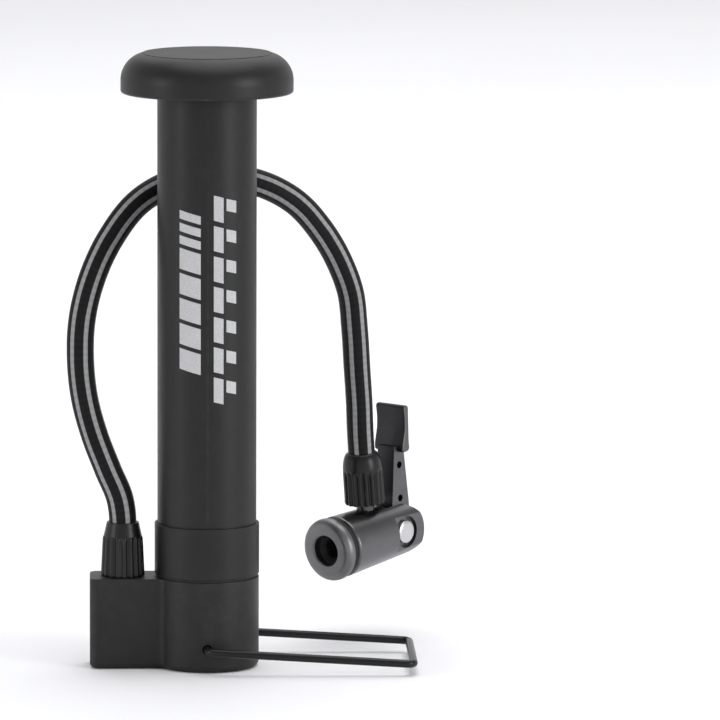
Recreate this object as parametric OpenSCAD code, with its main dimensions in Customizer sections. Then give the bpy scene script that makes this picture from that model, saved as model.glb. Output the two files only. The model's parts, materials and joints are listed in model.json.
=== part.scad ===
// Mini floor pump that one foot holds down: a press cap drives a piston in an upright barrel,
// a wire bracket folds out of the base, and a striped hose ends in a lever valve chuck.
// Origin: centre of the tower's underside. +Z runs up the barrel, +X points to the bracket's
// crossbar, and the hose boss lies on the -X side. All sizes are in millimetres.

/* [Barrel] */
// Outer radius of the barrel tube
barrel_r = 19; // [18.9:0.05:19.05]
// Bore radius of the barrel tube
barrel_bore_r = 17.5; // [17.5:0.05:17.6]
// Height of the barrel's top edge above the floor
barrel_top = 222; // [220:0.5:223]
// Outer radius of the collar round the barrel's foot
collar_r = 20.1; // [19.9:0.1:20.5]
// Height of the collar's top edge above the floor
collar_top = 55.7; // [50:0.1:60]

/* [Base] */
// Height of the base block
base_h = 35; // [34.5:0.1:35.5]
// Radius of the round tower
tower_r = 20; // [19.8:0.1:20.2]
// Distance from the tower's axis to the boss's end face
boss_reach = 45; // [44:0.5:47]
// Half the boss's depth
boss_half = 10; // [9.5:0.5:11]
// Radius of the rounded lower edge
foot_edge = 2.3; // [1:0.1:2.5]
// Distance from the tower's axis to the hose fitting
gland_reach = 32.3; // [32:0.1:33]

/* [Handle] */
// Radius of the press cap
cap_r = 33; // [32:0.5:35]
// Height of the cap's lower edge above the floor
cap_low = 221.3; // [220.5:0.1:222]
// Radius of the round that runs from the cap's side to its top
cap_round = 10.5; // [10:0.1:11]
// Height of the cap's flat top above the floor
cap_high = 236.6; // [236:0.1:237]
// Radius of the disc let into the cap's top
cover_r = 24.5; // [22:0.5:25]
// Radius of the piston rod
rod_r = 5; // [4.8:0.1:5.2]

/* [Foot bracket] */
// Diameter of the bracket's wire
wire_d = 3.1; // [3:0.1:3.2]
// Distance from the tower's axis to each leg
leg_y = 25.5; // [25:0.5:26.5]
// Distance from the pivot to the crossbar, along the legs
leg_len = 79; // [75:1:85]
// Height of the pivot above the floor
pivot_z = 9.2; // [9.2:0.1:9.4]

/* [Hose] */
// Outer diameter of the hose
hose_d = 10.5; // [10:0.1:10.6]

/* [Valve chuck] */
// Radius of the head's round rear end
head_r = 10.75; // [10.5:0.05:11]
// Radius of the head behind the nose nut
head_front_r = 12.2; // [11.5:0.1:12.4]
// Radius of the nut at the nose
nose_r = 12.4; // [12.2:0.1:12.6]
// Turn of the head about the vertical, away from the pump's depth axis
chuck_yaw = 43; // [40:1:46]
// Tilt of the nose below the horizontal
chuck_tilt = 6.1; // [4:0.1:7]
// Length of the lever from its pin
lever_len = 49.4; // [45:0.1:52]

/* [Hidden] */
$fn = 96;
over = 1;                    // how far a cutter runs past the face it opens
run_fit = 0.05;              // radial clearance of a sliding or turning fit
set_fit = 0.02;              // radial clearance of parts that are fixed together

// Base: ducts, valve chamber and spigot
boss_corner = 3;             // plan radius of the boss's corners
gasket_t = 1;                // thickness of the flat gasket under the barrel
gasket_out = 19.4;
gasket_in = 17.6;
spigot_r = 17.4;             // spigot that enters the barrel
spigot_top = base_h + 12;
base_groove_z = base_h + 5;  // lower edge of the spigot's seal groove
base_groove_r = 15.4;
seal_r = 1;                  // section radius of the spigot's seal
chamber_r = 5.2;
chamber_floor = 22;
duct_r = 1.75;
duct_z = 25;
plug_r = 3;
plug_len = 5;
plug_slot_w = 0.8;           // screwdriver slot in the plug's face
plug_slot_deep = 1;
pivot_depth = 6;             // depth of the bracket's blind holes
seat_flange_r = 7;
seat_flange_t = 1;
seat_low = 41;               // underside of the valve seat
seat_hole_r = 2;
poppet_r = 4.2;
poppet_t = 1.6;
poppet_gap = 0.05;           // poppet to seat when shut
stem_r = 1.5;
stem_len = 5;
spring_coil_r = 3;
spring_wire_r = 0.35;
spring_turns = 7;
spring_steps = 11;           // rings of the coil's tube in each turn

// Rod guide at the barrel's top
guide_plug_r = 17.45;
guide_low = barrel_top - 10;
guide_flange_r = 19.6;
guide_top = barrel_top + 2.5;
wiper_r = 7.5;
wiper_low = guide_top - 2.9;
bumper_in = 8;
bumper_out = 15;
bumper_t = 1.5;

// Plunger
hub_r = 9.5;
hub_low = guide_top + bumper_t + 0.2;
cap_wall = 2.6;
recess_r = 21.2;             // clears the guide's flange
rib_t = 1.8;
rib_count = 8;
cover_t = 1.1;
screw_head_r = 4.5;
screw_head_t = 2.3;
screw_r = 2.45;
screw_gap = 0.1;             // between the screw and the cap
screw_socket_r = 2.3;
screw_socket_z = 1;          // floor of the socket, above the head's underside
screw_low = 216;
rod_top = hub_low + 5.3;
piston_low = 56;
piston_top = 68;
piston_r = 17.3;
stub_r = 2.5;                // thinned foot of the rod, which holds the piston
stub_low = 51;
washer_r = 12;
washer_t = 1.5;
nut_flat_r = 5.5;
nut_t = 3.5;
piston_seal_r = 1.25;
piston_groove_z = 62;
piston_groove_r = piston_r - 2.4;
piston_groove_half = 1.45;

// Bracket
wire_r = wire_d / 2;
bend_r = 3;                  // centreline radius of the wire's bends
foot_gap = 3;                // crossbar to floor
leg_slope = asin((pivot_z - wire_r - foot_gap) / leg_len);
pivot_in = 14.5;             // inner end of each pivot, from the tower's axis

// Base fitting
barb_thread_r = 3.15;
barb_low = base_h - 10;
barb_r = 2.5;
barb_bore_r = 1.3;
barb_rise = 0.6;             // how far each barb stands out
barb_step = 4;
gland_hex_r = 5.6;
gland_hex_h = 2;
nut_cavity_r = 6;
nut_foot_r = 8.45;
nut_rib_r = 7.75;
nut_rib_z = 50;
nut_top_r = 6.15;
base_nut_top = 55.8;
hose_seat_r = 4.6;           // hole in each nut's end, under the hose's end face
flute_count = 18;
flute_r = 0.75;
rib_drop = 0.3;              // step from the ribs' end to the nut's plain top

// Hose route: centreline points, from the fitting on the base to the chuck's nut
hose_start = [-gland_reach, 0, base_nut_top];
hose_end = [61.2, 58.4, 73.6];
hose_sides = 12;
hose_route = [
    hose_start,
    [-33.2, 0.2, 64],
    [-38, 1, 76],
    [-43, 1.8, 89],
    [-46.8, 2.8, 103],
    [-48.4, 4, 118],
    [-47.8, 6, 133],
    [-44.2, 9, 148],
    [-36.6, 13.6, 164],
    [-25.2, 19.2, 177.6],
    [-10.4, 24.6, 184.6],
    [5, 28, 185.8],
    [20, 31, 183],
    [33.4, 36, 175.8],
    [44.4, 43.8, 163.4],
    [52.2, 49.8, 149.6],
    [56.4, 52.6, 138],
    [58.2, 54.2, 123],
    [59.2, 55.4, 108],
    [60.2, 56.6, 93],
    [60.6, 57.5, 83],
    hose_end
];

// Chuck, in its own frame: X to the nose, Y along the lever's pin, Z up into the hose
chuck_nut_low = 13.8;
chuck_nut_top = 34.3;
chuck_nut_rib_z = 27;
chuck_nut_r = 7.9;
chuck_rib_r = 7.4;
chuck_shoulder_r = 7;
chuck_shoulder_z = 29;
chuck_nut_lip = 1.5;         // wall at each end of the nut
chuck_nut_bore_r = 5.3;
pin_x = -13.2;
nose_x = 25;
nose_nut_len = 6;
nose_hole_r = 6;
nose_edge = 2.5;
groove_w = 1;
nose_wall = 3;               // thickness of the nut's front wall
thread_end = nose_x - 3.2;
grommet_end = nose_x - 3.1;
throat_r = 7.55;             // cavity that holds the grommet
throat_floor = 5;
thread_r = 8.15;
grommet_r = 7.5;
grommet_hole_r = 4;
grommet_x = 9;
pusher_r = 2.95;
pusher_head_r = 7.2;
pusher_back = pin_x + 5.65;
pusher_head_t = 2.1;
pusher_bore_r = 1.2;
pusher_waist_r = 2.2;        // groove that lets air round the pusher
pusher_waist_half = 2.5;
pusher_port_r = 0.9;
slot_half = 4.6;
slot_front = pin_x + 5.9;
slot_floor = -8.4;
pin_r = 1.9;
pin_head_r = 4.5;
pin_head_t = 2.6;
pin_pocket_r = 6.3;
cheek_y = 9;                 // flat on each side, round the pin
cheek_len = 6.5;             // from the pin to the flat's front end
pocket_y = 7;
neck_r = 3.5;
neck_low = 4.5;
neck_len = 12;
neck_flange_r = 5.2;
neck_flange_t = 1.4;
neck_barb_low = 16;
neck_barb_len = 17;
web_half = 4.3;
cam_r = 4.6;
cam_shift = 0.75;            // the cam's centre, ahead of and above the pin
tab_half = 7.45;
tab_low = 31;
lever_hole_r = 1.35;
lever_holes = [[-3.1, 12.5], [-3.8, 25.8]];

up_chuck = [-sin(chuck_yaw) * sin(chuck_tilt), -cos(chuck_yaw) * sin(chuck_tilt), cos(chuck_tilt)];
chuck_at = hose_end - chuck_nut_top * up_chuck;

// ---- shared shapes ----

// A ring or tube standing on z = low
module ring(outer, inner, low, high) {
    translate([0, 0, low])
        difference() {
            cylinder(r = outer, h = high - low);
            translate([0, 0, -over]) cylinder(r = inner, h = high - low + 2 * over);
        }
}

// A round seal of the given section, centred on z = height
module seal(centre_r, section_r, height) {
    translate([0, 0, height])
        rotate_extrude()
            translate([centre_r, 0])
                circle(section_r, $fn = 48);
}

// Upright outline from the axis out to r, with a rounded lower corner
module footed_outline(r, h, edge) {
    translate([0, edge]) square([r, h - edge]);
    square([r - edge, h]);
    translate([r - edge, edge]) circle(edge);
}

// Cylinder along X between two places
module along_x(r, from, to) {
    translate([from, 0, 0]) rotate([0, 90, 0]) cylinder(r = r, h = to - from);
}

function unit(v) = v / norm(v);

// Direction of a path at its point i, with both end directions given
function heading(path, i, first, last) =
    i == 0 ? first :
    i == len(path) - 1 ? last :
    unit(path[i + 1] - path[i - 1]);

// One ring of points round a path's point, turned so that its second axis leans to lean
function ring_points(at, dir, lean, r, sides) =
    let (side = unit(cross(dir, lean)), rise = cross(side, dir))
    [for (k = [0:sides - 1])
        at + r * (cos(360 * k / sides) * side + sin(360 * k / sides) * rise)];

// Round tube along a path
module swept_tube(path, first, last, lean, r, sides) {
    count = len(path);
    rings = [for (i = [0:count - 1])
        ring_points(path[i], heading(path, i, first, last), lean, r, sides)];
    start_cap = [[for (k = [sides - 1:-1:0]) k]];
    end_cap = [[for (k = [0:sides - 1]) (count - 1) * sides + k]];
    walls = [for (i = [0:count - 2]) for (k = [0:sides - 1])
        let (next = (k + 1) % sides)
        [i * sides + k, i * sides + next, (i + 1) * sides + next, (i + 1) * sides + k]];
    polyhedron(points = [for (r = rings) each r], faces = concat(start_cap, end_cap, walls));
}

// Places its children in the chuck's own frame
module in_chuck() {
    translate(chuck_at)
        rotate([0, chuck_tilt, -90 - chuck_yaw])
            children();
}

// ---- base ----

module boss_shape() {
    corner_x = boss_corner - boss_reach;
    corner_y = boss_half - boss_corner;
    for (side = [-1, 1])
        translate([corner_x, side * corner_y, 0])
            rotate_extrude()
                footed_outline(boss_corner, base_h, foot_edge);
    translate([corner_x, 0, 0])
        rotate([90, 0, 0])
            linear_extrude(2 * corner_y, center = true)
                mirror([1, 0])
                    footed_outline(boss_corner, base_h, foot_edge);
    translate([corner_x, 0, 0])
        rotate([90, 0, 90])
            linear_extrude(-corner_x) {
                footed_outline(boss_half, base_h, foot_edge);
                mirror([1, 0]) footed_outline(boss_half, base_h, foot_edge);
            }
}

module base_block() {
    color([0.16, 0.16, 0.17])
        difference() {
            union() {
                rotate_extrude() footed_outline(tower_r, base_h, foot_edge);
                boss_shape();
                cylinder(r = spigot_r, h = spigot_top);
            }
            ring(spigot_r + over, base_groove_r, base_groove_z, base_groove_z + 2.2 * seal_r);
            translate([0, 0, chamber_floor]) cylinder(r = chamber_r, h = spigot_top);
            translate([0, 0, spigot_top - seat_flange_t])
                cylinder(r = seat_flange_r + set_fit, h = seat_flange_t + over);
            translate([0, 0, duct_z]) along_x(duct_r, -boss_reach - over, 0);
            translate([0, 0, duct_z])
                along_x(plug_r + set_fit, -boss_reach - over, plug_len - boss_reach);
            translate([-gland_reach, 0, duct_z])
                cylinder(r = barb_thread_r + set_fit, h = base_h);
            for (side = [-1, 1])
                translate([0, side * tower_r, pivot_z])
                    rotate([side * 90, 0, 0])
                        translate([0, 0, -over])
                            cylinder(r = wire_r + 2 * run_fit, h = pivot_depth + over);
        }
}

module base_gasket() {
    color([0.05, 0.05, 0.05])
        ring(gasket_out, gasket_in, base_h, base_h + gasket_t);
}

module base_oring() {
    color([0.05, 0.05, 0.05])
        seal(base_groove_r + seal_r + set_fit, seal_r, base_groove_z + 1.1 * seal_r);
}

module duct_plug() {
    color([0.12, 0.12, 0.12])
        difference() {
            translate([0, 0, duct_z]) along_x(plug_r, -boss_reach, plug_len - boss_reach);
            translate([0, 0, duct_z])
                rotate([90, 0, 0])
                    translate([-boss_reach, 0, 0])
                        cube([2 * plug_slot_deep, plug_slot_w, 2 * plug_r - 1], center = true);
        }
}

module valve_seat() {
    color([0.75, 0.75, 0.72])
        difference() {
            union() {
                translate([0, 0, seat_low])
                    cylinder(r = chamber_r - set_fit, h = spigot_top - seat_low);
                translate([0, 0, spigot_top - seat_flange_t])
                    cylinder(r = seat_flange_r, h = seat_flange_t);
            }
            cylinder(r = seat_hole_r, h = 2 * spigot_top);
        }
}

module valve_poppet() {
    top = seat_low - poppet_gap;
    color([0.8, 0.8, 0.78]) {
        translate([0, 0, top - poppet_t]) cylinder(r = poppet_r, h = poppet_t);
        translate([0, 0, top - poppet_t - stem_len]) cylinder(r = stem_r, h = stem_len);
    }
}

module valve_spring() {
    low = chamber_floor + spring_wire_r;
    rise = seat_low - poppet_gap - poppet_t - chamber_floor - 2 * spring_wire_r;
    steps = spring_steps * spring_turns;
    path = [for (i = [0:steps])
        let (turn = 360 * spring_turns * i / steps)
        [spring_coil_r * cos(turn), spring_coil_r * sin(turn), low + rise * i / steps]];
    color([0.7, 0.7, 0.7])
        swept_tube(path, [0, 1, 0], [0, 1, 0], [0, 0, 1], spring_wire_r, 6);
}

module barrel() {
    color([0.17, 0.17, 0.18])
        ring(barrel_r, barrel_bore_r, base_h + gasket_t, barrel_top);
}

module collar() {
    edge = 0.35;
    low = base_h + gasket_t;
    inner = barrel_r + set_fit;
    color([0.16, 0.16, 0.17])
        rotate_extrude()
            polygon([
                [inner, low],
                [collar_r, low],
                [collar_r, collar_top - edge],
                [collar_r - edge, collar_top],
                [inner, collar_top]
            ]);
}

module rod_guide() {
    color([0.1, 0.1, 0.1])
        difference() {
            union() {
                translate([0, 0, guide_low])
                    cylinder(r = guide_plug_r, h = guide_top - guide_low);
                translate([0, 0, barrel_top])
                    cylinder(r = guide_flange_r, h = guide_top - barrel_top);
            }
            cylinder(r = rod_r + run_fit, h = 2 * guide_top);
            translate([0, 0, wiper_low])
                cylinder(r = wiper_r + set_fit, h = guide_top);
        }
}

module guide_wiper() {
    color([0.05, 0.05, 0.05])
        ring(wiper_r, rod_r + run_fit + set_fit, wiper_low, guide_top);
}

module bumper() {
    color([0.05, 0.05, 0.05])
        ring(bumper_out, bumper_in, guide_top, guide_top + bumper_t);
}

module base_barb() {
    color([0.62, 0.6, 0.55])
        translate([-gland_reach, 0, 0])
            difference() {
                union() {
                    translate([0, 0, barb_low])
                        cylinder(r = barb_thread_r, h = base_h - barb_low);
                    translate([0, 0, base_h]) cylinder(r = gland_hex_r, h = gland_hex_h, $fn = 6);
                    translate([0, 0, base_h])
                        cylinder(r = barb_r, h = base_nut_top - base_h - 1);
                    for (i = [1:3])
                        translate([0, 0, base_h + barb_step * i])
                            cylinder(r1 = barb_r + barb_rise, r2 = barb_r, h = barb_step - 1);
                }
                cylinder(r = barb_bore_r, h = 2 * base_h);
            }
}

// Outer shape of a ribbed nut: a cone to the ribs' upper end, then a cone to its top
module fluted_nut(foot_r, rib_r, top_r, foot_z, rib_z, top_z) {
    lean = atan((foot_r - rib_r) / (rib_z - foot_z));
    difference() {
        union() {
            translate([0, 0, foot_z]) cylinder(r1 = foot_r, r2 = rib_r, h = rib_z - foot_z);
            translate([0, 0, rib_z]) cylinder(r1 = rib_r - rib_drop, r2 = top_r, h = top_z - rib_z);
        }
        for (i = [0:flute_count - 1])
            rotate([0, 0, 360 * i / flute_count])
                translate([foot_r + flute_r / 4, 0, foot_z])
                    rotate([0, -lean, 0])
                        translate([0, 0, -over])
                            cylinder(r = flute_r, h = rib_z - foot_z + over, $fn = 24);
    }
}

module base_ferrule_nut() {
    color([0.12, 0.12, 0.12])
        translate([-gland_reach, 0, 0])
            difference() {
                fluted_nut(nut_foot_r, nut_rib_r, nut_top_r, base_h, nut_rib_z, base_nut_top);
                translate([0, 0, base_h - over])
                    cylinder(r = nut_cavity_r, h = nut_rib_z - base_h + over);
                cylinder(r = hose_seat_r, h = 2 * base_nut_top);
            }
}

// ---- plunger ----

// Half outline of the cap, grown inwards by wall
module cap_outline(wall) {
    round_r = cap_round - wall;
    centre_x = cap_r - cap_round;
    centre_z = cap_high - cap_round;
    low = wall > 0 ? cap_low - over : cap_low;
    translate([0, low]) square([centre_x, centre_z + round_r - low]);
    translate([0, low]) square([cap_r - wall, centre_z - low]);
    translate([centre_x, centre_z])
        intersection() {
            circle(round_r);
            square(round_r + over);
        }
}

module cap_ribs() {
    intersection() {
        rotate_extrude() cap_outline(1);
        union() {
            for (i = [0:rib_count - 1])
                rotate([0, 0, 360 * (i + 0.5) / rib_count])
                    translate([0, -rib_t / 2, 0]) {
                        translate([hub_r - 1, 0, hub_low])
                            cube([cap_r, rib_t, cap_high - hub_low]);
                        translate([recess_r, 0, cap_low + 1])
                            cube([cap_r, rib_t, cap_high - cap_low]);
                    }
        }
    }
}

module handle() {
    color([0.15, 0.15, 0.16])
        difference() {
            union() {
                difference() {
                    rotate_extrude() cap_outline(0);
                    rotate_extrude() cap_outline(cap_wall);
                }
                cap_ribs();
                translate([0, 0, hub_low]) cylinder(r = hub_r, h = cap_high - hub_low - cover_t);
            }
            translate([0, 0, cap_high - cover_t]) cylinder(r = cover_r + set_fit, h = cover_t + over);
            translate([0, 0, hub_low - over]) cylinder(r = rod_r + set_fit, h = rod_top - hub_low + over);
            cylinder(r = screw_r + screw_gap, h = 2 * cap_high);
            translate([0, 0, cap_high - cover_t - screw_head_t])
                cylinder(r = screw_head_r + screw_gap, h = screw_head_t + over);
        }
}

module handle_cover() {
    color([0.35, 0.35, 0.36])
        translate([0, 0, cap_high - cover_t])
            cylinder(r = cover_r, h = cover_t);
}

module handle_screw() {
    head_low = cap_high - cover_t - screw_head_t;
    color([0.7, 0.7, 0.7])
        difference() {
            union() {
                translate([0, 0, head_low]) cylinder(r = screw_head_r, h = screw_head_t - screw_gap);
                translate([0, 0, screw_low]) cylinder(r = screw_r, h = head_low - screw_low);
            }
            translate([0, 0, head_low + screw_socket_z])
                cylinder(r = screw_socket_r, h = screw_head_t, $fn = 6);
        }
}

module piston_rod() {
    color([0.72, 0.72, 0.72])
        difference() {
            union() {
                translate([0, 0, piston_top]) cylinder(r = rod_r, h = rod_top - piston_top);
                translate([0, 0, stub_low]) cylinder(r = stub_r, h = piston_top - stub_low);
            }
            translate([0, 0, screw_low - over]) cylinder(r = screw_r + set_fit, h = rod_top);
        }
}

module piston() {
    color([0.85, 0.85, 0.82])
        difference() {
            ring(piston_r, stub_r + set_fit, piston_low, piston_top);
            ring(piston_r + over, piston_groove_r,
                piston_groove_z - piston_groove_half, piston_groove_z + piston_groove_half);
        }
}

module piston_seal() {
    color([0.05, 0.05, 0.05])
        seal(barrel_bore_r - run_fit - piston_seal_r, piston_seal_r, piston_groove_z);
}

module piston_washer() {
    color([0.7, 0.7, 0.7])
        ring(washer_r, stub_r + set_fit, piston_low - washer_t, piston_low);
}

module piston_nut() {
    top = piston_low - washer_t;
    color([0.7, 0.7, 0.7])
        difference() {
            translate([0, 0, top - nut_t]) cylinder(r = nut_flat_r, h = nut_t, $fn = 6);
            cylinder(r = stub_r + set_fit, h = 2 * top);
        }
}

// ---- foot bracket ----

// Quarter bend of the wire in the XY plane, centred on the origin
module wire_bend() {
    rotate_extrude(angle = 90)
        translate([bend_r, 0])
            circle(wire_r, $fn = 48);
}

module foot_bracket() {
    color([0.2, 0.2, 0.21])
        translate([0, 0, pivot_z])
            rotate([0, leg_slope, 0]) {
                for (side = [0, 1])
                    mirror([0, side, 0]) {
                        translate([0, leg_y - bend_r, 0])
                            rotate([90, 0, 0])
                                cylinder(r = wire_r, h = leg_y - bend_r - pivot_in);
                        translate([bend_r, leg_y - bend_r, 0])
                            rotate([0, 0, 90])
                                wire_bend();
                        translate([0, leg_y, 0]) along_x(wire_r, bend_r, leg_len - bend_r);
                        translate([leg_len - bend_r, leg_y - bend_r, 0]) wire_bend();
                    }
                translate([leg_len, leg_y - bend_r, 0])
                    rotate([90, 0, 0])
                        cylinder(r = wire_r, h = 2 * (leg_y - bend_r));
            }
}

// ---- hose and chuck ----

module hose() {
    color([0.1, 0.1, 0.1])
        swept_tube(hose_route, [0, 0, 1], -up_chuck, [0, 1, 0], hose_d / 2, hose_sides);
}

module chuck_ferrule_nut() {
    color([0.14, 0.14, 0.15])
        in_chuck()
            difference() {
                union() {
                    fluted_nut(chuck_nut_r, chuck_rib_r, chuck_shoulder_r,
                        chuck_nut_low, chuck_nut_rib_z, chuck_shoulder_z);
                    translate([0, 0, chuck_shoulder_z])
                        cylinder(r1 = chuck_shoulder_r, r2 = hose_d / 2,
                            h = chuck_nut_top - chuck_shoulder_z);
                }
                cylinder(r = neck_r + set_fit, h = 2 * chuck_nut_top);
                translate([0, 0, chuck_nut_low + chuck_nut_lip])
                    cylinder(r = chuck_nut_bore_r, h = chuck_nut_top - chuck_nut_low - 2 * chuck_nut_lip);
                cylinder(r = hose_seat_r, h = chuck_nut_top + over);
            }
}

module chuck_neck() {
    color([0.45, 0.45, 0.46])
        in_chuck()
            difference() {
                union() {
                    translate([0, 0, neck_low]) cylinder(r = neck_r, h = neck_len);
                    translate([0, 0, chuck_nut_low + chuck_nut_lip])
                        cylinder(r = neck_flange_r, h = neck_flange_t);
                    translate([0, 0, neck_barb_low]) cylinder(r = barb_r, h = neck_barb_len);
                    for (i = [1:3])
                        translate([0, 0, neck_barb_low + barb_step * i])
                            cylinder(r1 = barb_r + barb_rise, r2 = barb_r, h = barb_step - 1);
                }
                cylinder(r = barb_bore_r, h = 2 * chuck_nut_top);
            }
}

module chuck_body() {
    body_front = nose_x - nose_nut_len - groove_w;
    color([0.13, 0.13, 0.14])
        in_chuck()
            difference() {
                union() {
                    intersection() {
                        translate([pin_x - head_r, 0, 0])
                            rotate([0, 90, 0])
                                cylinder(r1 = head_r, r2 = head_front_r, h = body_front - pin_x + head_r);
                        union() {
                            translate([pin_x, 0, 0])
                                rotate([90, 0, 0])
                                    cylinder(r = head_r, h = 3 * head_r, center = true);
                            translate([pin_x, -2 * head_r, -2 * head_r])
                                cube([nose_x - pin_x, 4 * head_r, 4 * head_r]);
                        }
                    }
                    along_x(thread_r, body_front - over, thread_end);
                }
                along_x(throat_r, throat_floor, nose_x);
                along_x(pusher_r + run_fit, slot_front - over, nose_x);
                translate([pin_x - 2 * head_r, -slot_half, slot_floor])
                    cube([slot_front - pin_x + 2 * head_r, 2 * slot_half, 3 * head_r]);
                translate([pin_x, 0, 0])
                    rotate([90, 0, 0])
                        cylinder(r = pin_r + set_fit, h = 3 * head_r, center = true);
                for (side = [-1, 1])
                    translate([pin_x, side * pocket_y, 0])
                        rotate([-90 * side, 0, 0])
                            cylinder(r = pin_pocket_r, h = head_r);
                for (side = [-1, 1])
                    translate([pin_x - 2 * head_r, side > 0 ? cheek_y : -cheek_y - head_r, -2 * head_r])
                        cube([2 * head_r + cheek_len, head_r, 4 * head_r]);
                translate([0, 0, neck_low]) cylinder(r = neck_r + set_fit, h = head_r);
                cylinder(r = barb_bore_r, h = head_r);
            }
}

module chuck_nose_nut() {
    low = nose_x - nose_nut_len;
    color([0.2, 0.2, 0.21])
        in_chuck()
            rotate([0, 90, 0])
                difference() {
                    rotate_extrude() {
                        translate([0, low]) square([nose_r, nose_nut_len - nose_edge]);
                        translate([0, low]) square([nose_r - nose_edge, nose_nut_len]);
                        translate([nose_r - nose_edge, nose_x - nose_edge]) circle(nose_edge);
                    }
                    translate([0, 0, low - over])
                        cylinder(r = thread_r + set_fit, h = nose_nut_len - nose_wall + over);
                    cylinder(r = nose_hole_r, h = 2 * nose_x);
                }
}

module chuck_grommet() {
    color([0.06, 0.06, 0.06])
        in_chuck()
            difference() {
                along_x(grommet_r, grommet_x, grommet_end);
                along_x(grommet_hole_r, 0, nose_x);
            }
}

module chuck_pusher() {
    head_x = grommet_x - 0.1;
    color([0.75, 0.75, 0.72])
        in_chuck()
            difference() {
                union() {
                    along_x(pusher_r, pusher_back, head_x);
                    along_x(pusher_head_r, head_x - pusher_head_t, head_x);
                }
                along_x(pusher_bore_r, -2, nose_x);
                difference() {
                    along_x(pusher_r + over, -pusher_waist_half, pusher_waist_half);
                    along_x(pusher_waist_r, -pusher_waist_half - over, pusher_waist_half + over);
                }
                cylinder(r = pusher_port_r, h = 3 * pusher_r, center = true);
            }
}

module chuck_pin() {
    color([0.85, 0.85, 0.86])
        in_chuck()
            translate([pin_x, 0, 0])
                rotate([90, 0, 0]) {
                    cylinder(r = pin_r, h = 2 * pocket_y, center = true);
                    for (side = [-1, 1])
                        translate([0, 0, side * (pocket_y + pin_head_t / 2)])
                            cylinder(r = pin_head_r, h = pin_head_t, center = true);
                }
}

// Side view of the lever's web, seen along the pin
module lever_web() {
    polygon([
        [2.7, 2],
        [2, 10],
        [-1.1, tab_low],
        [-1.2, tab_low + 2],
        [-7.2, tab_low + 2],
        [-7.1, tab_low],
        [-8, 10],
        [-7.9, 2]
    ]);
}

// Side view of the thumb tab, seen along the pin
module lever_tab() {
    polygon([
        [-2.6, tab_low],
        [-5.1, lever_len - 0.6],
        [-5.7, lever_len],
        [-7.5, lever_len],
        [-8.1, lever_len - 0.6],
        [-7.1, tab_low]
    ]);
}

module chuck_lever() {
    color([0.2, 0.2, 0.21])
        in_chuck()
            translate([pin_x, 0, 0])
                difference() {
                    rotate([90, 0, 0]) {
                        linear_extrude(2 * web_half, center = true) lever_web();
                        translate([cam_shift, cam_shift, 0])
                            cylinder(r = cam_r, h = 2 * web_half, center = true);
                        linear_extrude(2 * tab_half, center = true) lever_tab();
                    }
                    rotate([90, 0, 0]) {
                        cylinder(r = pin_r + run_fit, h = 3 * head_r, center = true);
                        for (place = lever_holes)
                            translate(place)
                                cylinder(r = lever_hole_r, h = 3 * head_r, center = true);
                    }
                }
}

base_block();
base_gasket();
base_oring();
barrel();
collar();
rod_guide();
guide_wiper();
bumper();
valve_seat();
valve_poppet();
valve_spring();
duct_plug();
base_barb();
base_ferrule_nut();
handle();
handle_cover();
handle_screw();
piston_rod();
piston();
piston_seal();
piston_washer();
piston_nut();
foot_bracket();
hose();
chuck_ferrule_nut();
chuck_neck();
chuck_body();
chuck_nose_nut();
chuck_grommet();
chuck_pusher();
chuck_pin();
chuck_lever();
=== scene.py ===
"""Looks of the foot air pump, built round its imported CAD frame.

Shapes are drawn, cut and bevelled in millimetres, and scaled to metres once, in settle().
"""
import json
import math

import bmesh
import bpy
from mathutils import Matrix, Vector


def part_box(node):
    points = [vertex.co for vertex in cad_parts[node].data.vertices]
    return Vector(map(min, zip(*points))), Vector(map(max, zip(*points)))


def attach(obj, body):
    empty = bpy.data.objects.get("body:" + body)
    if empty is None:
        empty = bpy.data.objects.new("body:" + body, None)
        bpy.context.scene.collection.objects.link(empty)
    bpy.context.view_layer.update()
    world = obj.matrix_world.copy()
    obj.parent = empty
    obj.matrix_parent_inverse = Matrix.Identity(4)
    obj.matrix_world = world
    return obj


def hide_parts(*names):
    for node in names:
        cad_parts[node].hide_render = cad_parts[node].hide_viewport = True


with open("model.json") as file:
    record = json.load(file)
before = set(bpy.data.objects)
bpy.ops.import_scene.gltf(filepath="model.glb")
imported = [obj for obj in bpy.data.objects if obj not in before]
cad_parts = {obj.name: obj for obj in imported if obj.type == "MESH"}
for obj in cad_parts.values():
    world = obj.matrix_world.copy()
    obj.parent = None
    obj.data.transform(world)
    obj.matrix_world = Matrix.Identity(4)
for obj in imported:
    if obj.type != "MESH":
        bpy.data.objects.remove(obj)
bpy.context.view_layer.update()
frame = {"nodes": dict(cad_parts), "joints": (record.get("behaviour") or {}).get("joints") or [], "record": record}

MM = 0.001
JOINTS = {joint["name"]: joint for joint in frame["joints"]}


def box_mm(node):
    """Lowest and highest corner of a CAD node, in millimetres."""
    low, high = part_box(node)
    return low / MM, high / MM


# ---------------------------------------------------------------- camera and room

CAMERA_AT = (-0.0319, -2.7907, 0.5142)
CAMERA_YAW = 1.858           # degrees to the right of +Y
CAMERA_PITCH = -8.07
CAMERA_ROLL = 0.193
LENS_MM = 368.03
FLOOR_HALF = 9.0
FLOOR_DROP = 0.0001          # keeps the floor just under the base


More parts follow.
